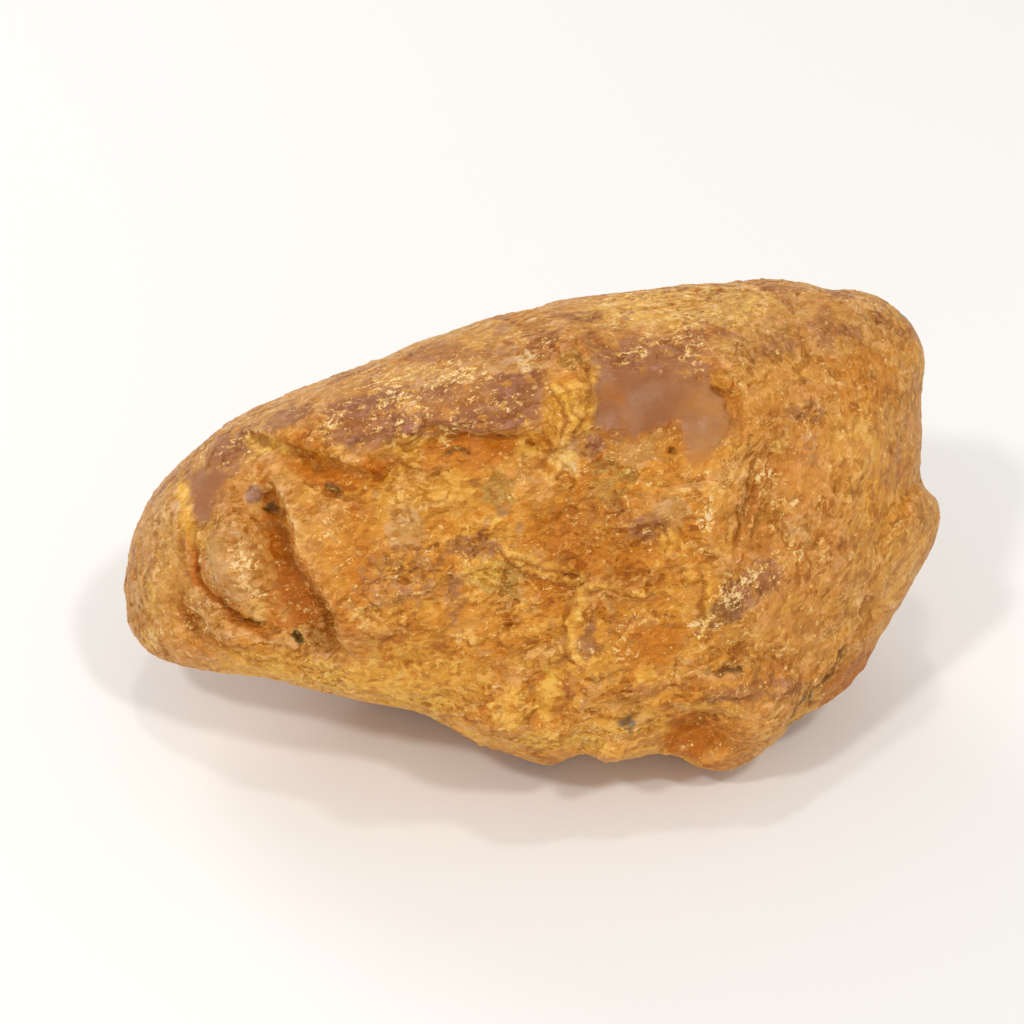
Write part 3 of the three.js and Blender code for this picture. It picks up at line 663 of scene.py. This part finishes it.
STREAKS = [
    ("yellow", 0.95, [(-77.3, 10), (-76.4, 6), (-76.8, 1), (-75.2, -2), (-74.2, -6)], 1.2),
    # A burnt streak of painted shade down the cleft.
    ("burnt", 0.9, [(-56, 1), (-53.6, -5.5), (-51, -10.5), (-47, -16.5), (-44.5, -22)], 1.2),
    # The amber and burnt streaks along the nose's two folds are painted shade.
    ("amber", 0.8, [(-75.5, -1), (-74.6, -7), (-74, -12.5), (-68.6, -17.4), (-63, -22.4),
     (-57, -25)], 1.6),
    ("burnt", 0.8, [(-79, -17), (-76, -20.5), (-73.8, -24.5), (-70, -26.5), (-65, -30)], 1.2),
    # A line of painted shade in the slit under the second lip.
    ("umber", 0.8, [(-20.5, 15.4), (-17, 16.2), (-13, 15)], 0.7),
    ("umber", 0.75, [(39.5, -33), (42, -33), (45.5, -30.5)], 0.8),
    ("yellow", 0.7, [(-84.5, -13), (-84, -18)], 0.8),
    ("straw", 0.8, [(8.6, 16), (9.4, 13), (8.4, 11)], 1.3),
    # Painted glow along the lower left edge, of light through the thin resin and bounced off the
    # table.
    ("yellow", 0.55, [(-72, -30), (-58, -31.5), (-44, -34), (-30, -38), (-16, -43.5)], 4.5),
    # Painted shade along the step at the edge of the lower right-hand side.
    ("umber", 0.75, [(56.5, -43.5), (60, -39.5), (64.8, -34), (68.5, -29), (71, -25)], 0.6),
]
# How a mark breaks up inside, and over what shares of its path a streak or a vein fades.
MARK_BREAK = [(0.4, 2.6, 3, 34)]
PATCH_EDGE = (0.1, 0.7)
PATCH_FILL = 1.7
STREAK_TAPER, MARK_START = 0.12, -0.02
VEIN_YELLOW, VEIN_SHADE, VEIN_SHADE_AWAY = 0.5, 0.8, 1.6


def stains_and_painted_light(lump):
    """The colour of the stains, and of the painted shade, glow and highlights among them, at every
    point, and how strongly they cover it.
    """
    wander = layered(lump.points, WANDER)
    u, v = lump.u + wander, lump.v - wander
    uneven = layered(lump.points, MARK_BREAK)
    colour = np.tile(COLOURS["ochre"], (len(u), 1))
    cover = np.zeros(len(u))
    marks = [(name, strength * ease(*PATCH_EDGE, PATCH_FILL * blob(u, v, *form) + uneven))
             for name, strength, *form in PATCHES]
    for name, strength, path, width in STREAKS:
        across, along = beside(u, v, path)
        ends = tapered(along, STREAK_TAPER, MARK_START)
        marks.append((name, strength * ends * thread(across, width)))
    for path, width, _ in VEINS:
        across, along = beside(u, v, path)
        ends = tapered(along, VEIN_TAPER, MARK_START)
        shade = thread(across + VEIN_SHADE_AWAY * width, HAIRLINE_WIDTH)
        marks.append(("yellow", VEIN_YELLOW * (1 + uneven) * ends * thread(across, width)))
        marks.append(("burnt", VEIN_SHADE * ends * shade))
    for name, mark in marks:
        mark = mark * lump.front
        blended = mark + cover * (1 - mark)
        share = np.where(blended > 0, mark / np.maximum(blended, 1e-6), 0)[:, None]
        colour = colour * (1 - share) + np.array(COLOURS[name]) * share
        cover = blended
    return colour, cover


def lay(under, over, share):
    """One colour laid over another, by a share at every point."""
    over = np.array(COLOURS[over]) if isinstance(over, str) else over
    share = np.clip(share, 0, 1)[:, None]
    return under * (1 - share) + over * share


def tint(colour, factors, share):
    """A colour multiplied by three factors, by a share at every point."""
    return colour * (1 + np.clip(share, 0, 1)[:, None] * (np.array(factors) - 1))


# The crust's clouds and fibres: the colour, its share, and the noise at which it starts and is
# full. A noise has its size in mm, octaves and seed.
CLOUD_NOISE = (18, 4, 41)
CLOUD_COLOURS = [("orange", 0.8, (0.0, -0.4)), ("yellow", 0.4, (0.1, 0.4))]
FIBRE_STRETCH = 1.8
FIBRES = [
    ("tan", 0.35, (0.1, 0.35), (6, 4, 47)), ("orange", 0.35, (0.08, 0.3), (5, 4, 42)),
    ("yellow", 0.3, (0.1, 0.35), (3.4, 4, 43)), ("rust", 0.2, (0.18, 0.45), (2.6, 3, 48)),
]
SKIN_NOISE = (8, 4, 44)
RESIN_GLOW, RESIN_HAZE = (9, 2, 45), (6, 3, 46)
# Passes of evening out: many bring out the hollows some millimetres wide, and a few the finest.
BROAD_PASSES, FINE_PASSES = 60, 4


def bare_resin(lump, where):
    """The windows: mauve, with an orange glow low on the broad one, and a lilac haze."""
    colour = np.tile(COLOURS["mauve"], (len(lump.points), 1))
    low = 0.7 * lump.front * ease(21, 14, lump.v) * (lump.u > 0)
    glow = 0.4 * ease(0.0, 0.5, ripples(lump.points, *RESIN_GLOW))
    colour = lay(colour, "orange", glow + low)
    colour = lay(colour, "lilac", 0.7 * ease(-0.1, 0.4, ripples(lump.points, *RESIN_HAZE)))
    colour = lay(colour, "tan", 0.3 * ease(26, 40, lump.u) * lump.front)
    return lay(colour, "amber", 0.5 * where["back"] * ease(0.85, 0.3, where["window"]))


def ground_colour(lump, where):
    """The colour under the stains: ochre clouds on the crust, tan on old skin, mauve where the resin
    is bare; painted orange shade in the hollows, and paler on the worn edges."""
    colour = np.tile(COLOURS["ochre"], (len(lump.points), 1))
    cloud = ripples(lump.points, *CLOUD_NOISE)
    for name, share, edge in CLOUD_COLOURS:
        colour = lay(colour, name, share * ease(*edge, cloud))
    fibrous = drawn_out(lump.points, LEVEL_FLOW, FIBRE_STRETCH)
    for name, share, edge, kind in FIBRES:
        colour = lay(colour, name, share * ease(*edge, ripples(fibrous, *kind)))
    colour = lay(colour, "tan", 0.45 * where["nose"] + 0.3 * where["right"])
    patchy = ripples(lump.points, *SKIN_NOISE)
    colour = lay(colour, "tan", 0.7 * where["skin"] * ease(-0.35, 0.25, patchy))
    colour = lay(colour, "mauve", 0.7 * where["skin"] * ease(0.0, 0.3, -patchy))
    colour = lay(colour, "mauve", where["band"] * (0.88 + 0.4 * patchy))
    colour = lay(colour, bare_resin(lump, where), where["window"])
    crusted = 1 - where["window"]
    broad, fine = relief(BROAD_PASSES), relief(FINE_PASSES)
    # Painted shade: orange in the broad hollows, and darker in the finest ones.
    colour = lay(colour, "orange", 0.6 * crusted * ease(-0.2, -1.6, broad))
    colour = tint(colour, DARK_TONE_AND_SHADE, 0.55 * crusted * ease(-0.03, -0.25, fine))
    return tint(colour, PALER, 0.5 * crusted * ease(0.04, 0.3, fine))


# Where cream crumbs and painted glints gather: middle, radii, turn and how thickly.
CRUMBS_AND_GLINTS = [
    ((-22, 28), (30, 9), 8, 0.95), ((-20, 20.5), (18, 2.5), 3, 0.9), ((0, 37), (60, 5), 7, 0.35),
    ((-66, 16), (10, 6), 40, 0.7), ((-64, -10), (7, 10), 15, 0.9), ((-43, -3), (6, 6), 0, 0.7),
    ((-72, -20), (8, 7), 0, 0.5), ((46, -15), (17, 6), 41, 1.0), ((52, -28), (10, 8), 20, 0.7),
    ((39, 1), (3, 11), -5, 1.0), ((53, 8), (6, 9), 10, 0.9), ((28, 37), (16, 5), 8, 0.8),
    ((34, 36), (4, 8), 20, 0.9), ((-15, -20), (5, 10), 0, 0.7), ((17, -44), (16, 5), 5, 0.6),
    ((62, -10), (9, 12), 0, 0.5), ((39, 0.5), (1.8, 9), -6, 1.6), ((52, 7.5), (1.8, 5), -35, 1.4),
    ((-64, -10), (1.6, 5.5), 4, 1.7), ((-60.5, -15.7), (3.4, 1.1), -10, 1.5),
    ((-81.5, -10.3), (2.2, 1.5), -40, 1.7), ((-73.3, -7.5), (1.2, 2.6), 0, 1.5),
    ((36, -23), (4, 2.2), 30, 1.5), ((44, -26), (3.6, 1.6), 20, 1.4),
    ((51, -35.5), (1.4, 1), 30, 1.8), ((56, -37.2), (1.4, 1), 40, 1.8),
    ((55.5, -25), (1.6, 4.5), 10, 1.2), ((9, 13.5), (1.6, 3), -20, 1.7),
    ((-82.8, -25), (2.5, 3.5), 0, 1.0), ((46, -15), (14, 3.5), 41, 0.5),
    ((20, 43), (30, 4), 5, 0.6), ((-46, 20), (8, 4), 20, 0.8), ((8, 12), (6, 6), 0, 0.6),
]
# How many crumbs and painted glints lie anywhere on the front, where they gather, and on the back.
CRUMBS_AND_GLINTS_ANYWHERE, CRUMBS_AND_GLINTS_GATHERED, CRUMBS_AND_GLINTS_BEHIND = 0.22, 0.62, 0.6
CRUMB_AND_GLINT_NOISE, CRUMB_AND_GLINT_EDGE = (6, 3, 35), (-0.35, 0.35)
FAR_CRUMB_AND_GLINT_NOISE, FAR_CRUMB_AND_GLINT_EDGE = (20, 2, 31), (-0.2, 0.4)


def crumb_and_glint_cover(lump, where):
    """How thickly the crumbs and painted glints lie at every point, from 0 to 1."""
    thick = sum(amount * blob(lump.u, lump.v, *form) for *form, amount in CRUMBS_AND_GLINTS)
    uneven = ease(*CRUMB_AND_GLINT_EDGE, ripples(lump.points, *CRUMB_AND_GLINT_NOISE))
    gathered = CRUMBS_AND_GLINTS_GATHERED * thick * at_least(0.4, uneven)
    behind = where["back"] * uneven * ease(*FAR_CRUMB_AND_GLINT_EDGE, ripples(lump.points, *FAR_CRUMB_AND_GLINT_NOISE))
    cover = lump.front * (CRUMBS_AND_GLINTS_ANYWHERE * uneven + gathered) + behind * CRUMBS_AND_GLINTS_BEHIND
    return np.clip(cover, 0, 1)


# How far the smallest chips are bent out of line: the reach in mm, and the noise's size, octaves
# and first seed.
BEND, BEND_SIZE, BEND_OCTAVES, BEND_SEED = 0.9, 4, 2, 60

where = regions(lump)
stain_and_light_colour, stain_and_light_cover = stains_and_painted_light(lump)
store("ground", [*ground_colour(lump, where).T, crumb_and_glint_cover(lump, where)])
store("stain_and_light", [*stain_and_light_colour.T, stain_and_light_cover])
store("places", [where["window"], where["coarse"], where["right"]])
shifts = np.column_stack([
    BEND * MM * ripples(lump.points, BEND_SIZE, BEND_OCTAVES, BEND_SEED + k) for k in range(3)])
bend_attribute = nugget.data.attributes.new("bends", "FLOAT_VECTOR", "POINT")
bend_attribute.data.foreach_set("vector", shifts.ravel())

gum = bpy.data.materials.new("kauri_gum")
gum.use_nodes = True
tree = gum.node_tree
shader = tree.nodes["Principled BSDF"]
body = tree.nodes.new("ShaderNodeTexCoord").outputs["Object"]


def add(kind, settings=None, **sockets):
    """Adds a node, sets it up, and links or fills its sockets by name, or by number after at."""
    made = tree.nodes.new("ShaderNode" + kind)
    for name, value in (settings or {}).items():
        setattr(made, name, value)
    for name, value in sockets.items():
        socket = made.inputs[int(name[2:]) if name.startswith("at") else name.replace("_", " ")]
        if isinstance(value, bpy.types.NodeSocket):
            tree.links.new(value, socket)
        else:
            socket.default_value = value
    return made


def sums(operation, *values):
    """Arithmetic on up to three numbers."""
    sockets = {f"at{k}": value for k, value in enumerate(values)}
    return add("Math", {"operation": operation}, **sockets).outputs[0]


def centred(value):
    """A noise from 0 to 1, moved to lie about 0."""
    return sums("SUBTRACT", value, 0.5)


def weighed(start, *parts):
    """A value with others added to it, each times its weight."""
    for value, weight in parts:
        start = sums("MULTIPLY_ADD", value, weight, start)
    return start


def vectors(operation, output, **sockets):
    """Arithmetic on vectors."""
    return add("VectorMath", {"operation": operation}, **sockets).outputs[output]


def step(value, low, high, to_low=0.0, to_high=1.0):
    """A smooth step of a value from one range to another."""
    made = add("MapRange", {"interpolation_type": "SMOOTHSTEP"}, Value=value, From_Min=low,
               From_Max=high, To_Min=to_low, To_Max=to_high)
    return made.outputs["Result"]


def blend(share, under, over, how="MIX"):
    """Lays one colour over another by a share."""
    under, over = ((*c, 1) if isinstance(c, tuple) else c for c in (under, over))
    settings = {"data_type": "RGBA", "blend_type": how}
    return add("Mix", settings, Factor=share, at6=under, at7=over).outputs[2]


def stored(name):
    """What is kept at every point: a colour, its three parts, and the fourth number."""
    made = add("Attribute", {"attribute_name": name, "attribute_type": "GEOMETRY"})
    parts = add("SeparateColor", Color=made.outputs["Color"])
    return made.outputs["Color"], *(parts.outputs[k] for k in range(3)), made.outputs["Alpha"]


colour, *_, crumbs_and_glints = stored("ground")
stain_and_light, *_, stain_and_light_amount = stored("stain_and_light")
_, window, coarse, right, _ = stored("places")
crusted = sums("SUBTRACT", 1.0, window)
# The tones are weak where the resin is bare and where the crust is smooth.
toned = sums("MULTIPLY", weighed(1.0, (window, -0.65)), weighed(0.4, (coarse, 0.6)))

# Grain of the crust, and flakes drawn out along its two flows. Sizes are in mm.
GRAIN, FLAKE, SPECK = 1.9, 1.5, 1.0
LEVEL_STRETCH, STEEP_STRETCH = 1.8, 1.6
FLOW_CHANGE = 1.5  # how far the grain breaks up the border between the two flows


def mottle(place, size, roughness, **more):
    """Noise from 0 to 1 with lumps of a size in mm."""
    return add("TexNoise", Vector=place, Scale=1000 / size, Detail=3, Roughness=roughness,
               **more).outputs["Fac"]


def squeezed(along, stretch):
    """The place on the body, squeezed along a direction so that noise made on it is drawn out."""
    turn = Vector(along).rotation_difference(Vector((0, 0, 1))).to_euler()
    turned = add("Mapping", Vector=body, Rotation=turn)
    return add("Mapping", Vector=turned.outputs[0], Scale=(1, 1, 1 / stretch)).outputs[0]


grain = mottle(body, GRAIN, 0.7)
speck = mottle(body, SPECK, 0.72, Distortion=1.0)
flow_side = step(weighed(right, (centred(grain), FLOW_CHANGE)), 0.49, 0.51)
flow_place = add("Mix", {"data_type": "VECTOR"}, Factor=flow_side,
                 at4=squeezed(LEVEL_FLOW, LEVEL_STRETCH),
                 at5=squeezed(STEEP_FLOW, STEEP_STRETCH)).outputs[1]
flow = mottle(flow_place, FLAKE, 0.72)
# The crests of the noise are folded sharp: the crust is crumpled, and each fold has a dark line of
# painted shade.
crumple = sums("ABSOLUTE", centred(grain))
flaking = sums("ABSOLUTE", centred(flow))

# Chips too small for the mesh, in two sizes in mm: each is a little plane with its own tilt, tone
# and gloss.
CHIP, FLECK = 2.2, 0.9
bend = add("Attribute", {"attribute_name": "bends", "attribute_type": "GEOMETRY"}).outputs["Vector"]
wandered = vectors("ADD", 0, at0=flow_place, at1=bend)


def facets(size):
    """Cells of a size in mm: the height of each one's tilted plane, and two random numbers."""
    cell = add("TexVoronoi", Vector=wandered, Scale=1000 / size)
    tilt = vectors("SUBTRACT", 0, at0=cell.outputs["Color"], at1=(0.5, 0.5, 0.5))
    from_middle = vectors("SUBTRACT", 0, at0=wandered, at1=cell.outputs["Position"])
    lots = add("SeparateColor", Color=cell.outputs["Color"]).outputs
    return vectors("DOT_PRODUCT", 1, at0=from_middle, at1=tilt), lots[0], lots[1]


chip_plane, chip_lot, chip_gloss = facets(CHIP)
fleck_plane, fleck_lot, fleck_gloss = facets(FLECK)

# Stains and the painted light among them, frayed at their edges, and over them the light and dark
# tones of chips and grain, with painted shade along the folds.
MARK_FRAY = 2.0
CHIP_TONE, FLECK_TONE, GRAIN_TONE, FLOW_TONE = 0.6, 0.8, 0.6, 1.3
TONE_START, TONE_FULL, TONE_MOST = 0.06, 0.44, 0.95
frayed = weighed(stain_and_light_amount, (centred(grain), MARK_FRAY))
stain_and_light_share = sums("MULTIPLY", step(frayed, 0.15, 0.55), weighed(0.55, (stain_and_light_amount, 0.4)))
stain_and_light_share = sums("MULTIPLY", stain_and_light_share, crusted)
colour = blend(stain_and_light_share, colour, stain_and_light)
tone = weighed(-FLECK_TONE / 2, (fleck_lot, FLECK_TONE), (centred(chip_lot), CHIP_TONE),
               (centred(grain), GRAIN_TONE), (centred(flow), FLOW_TONE))
fold_shade = sums("MAXIMUM", step(flaking, 0.014, 0.0, 0.0, 0.7), step(crumple, 0.008, 0.0, 0.0, 0.3))
dark_tone_and_fold_shade = sums("MAXIMUM", step(tone, -TONE_START, -TONE_FULL, 0.0, TONE_MOST), fold_shade)
worn = step(tone, TONE_START, TONE_FULL, 0.0, TONE_MOST)
# Darker where the crust's tone is dark at random, and painted shade along the folds.
colour = blend(sums("MULTIPLY", dark_tone_and_fold_shade, toned), colour, DARK_TONE_AND_SHADE, "MULTIPLY")
colour = blend(sums("MULTIPLY", worn, toned), colour, PALER, "MULTIPLY")

# Cream crumbs with painted glints among them, a few everywhere and thick in places, with a
# straw-coloured dust around them that is partly painted glints too, and dark pores.
CRUMB_AND_GLINT_SPECK, CRUMB_AND_GLINT_FLECK = 3.0, 0.7
CRUMB_AND_GLINT_RARITY, CRUMB_AND_GLINT_GAIN = 1.01, -0.64
lot = sums("MULTIPLY_ADD", centred(speck), CRUMB_AND_GLINT_SPECK, sums("MULTIPLY", fleck_gloss, CRUMB_AND_GLINT_FLECK))
over = sums("SUBTRACT", lot, weighed(CRUMB_AND_GLINT_RARITY, (crumbs_and_glints, CRUMB_AND_GLINT_GAIN)))
dust_and_glint_share = sums("MULTIPLY", step(over, -0.22, -0.02, 0.0, 0.6), crusted)
crumb_and_glint_share = sums("MULTIPLY", step(over, 0.0, 0.26, 0.0, 0.9), crusted)
pore_share = sums("MULTIPLY", step(speck, 0.38, 0.32, 0.0, 0.7), toned)
colour = blend(dust_and_glint_share, colour, COLOURS["straw"])
colour = blend(crumb_and_glint_share, colour, COLOURS["cream"])
colour = blend(pore_share, colour, COLOURS["umber"])
tree.links.new(colour, shader.inputs["Base Color"])

# Relief too fine for the mesh, in mm: the weights of grain, folds, flow, flakes, flecks and chips.
# The planes are in metres, so their weights are large.
GRAIN_RELIEF, CRUMPLE_RELIEF, FLOW_RELIEF, FLAKE_RELIEF = 0.6, 0.4, 0.4, 1.0
FLECK_RELIEF, CHIP_RELIEF = 650.0, 900.0
height = weighed(sums("MULTIPLY", grain, GRAIN_RELIEF), (crumple, CRUMPLE_RELIEF),
                 (flow, FLOW_RELIEF), (flaking, FLAKE_RELIEF), (fleck_plane, FLECK_RELIEF),
                 (chip_plane, CHIP_RELIEF))
height = sums("MULTIPLY", height, weighed(0.47, (coarse, 0.5), (window, -0.4)))
fine_relief = add("Bump", Height=height, Distance=MM, Strength=1.0)
tree.links.new(fine_relief.outputs["Normal"], shader.inputs["Normal"])

# Gloss: from dull to glossy by chip and fleck, with a faint wet coat on the bare resin, and light
# that sinks a little way into it all.
DULL, GLOSSY = 0.5, 0.24
WINDOW_GLOSS, WINDOW_COAT = 0.04, 0.06
chip_shine = step(sums("ADD", chip_gloss, fleck_lot), 1.0, 1.7, DULL, GLOSSY)
gloss = sums("MULTIPLY_ADD", window, WINDOW_GLOSS, chip_shine)
tree.links.new(gloss, shader.inputs["Roughness"])
tree.links.new(sums("MULTIPLY", window, WINDOW_COAT), shader.inputs["Coat Weight"])
shader.inputs["Coat Roughness"].default_value = 0.3
shader.inputs["IOR"].default_value = 1.54
shader.inputs["Specular IOR Level"].default_value = 0.2
shader.inputs["Subsurface Weight"].default_value = 0.45
shader.inputs["Subsurface Radius"].default_value = (1.0, 0.45, 0.14)
shader.inputs["Subsurface Scale"].default_value = 0.0035
nugget.data.materials.append(gum)

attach(nugget, "root")
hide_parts("gum_nugget")
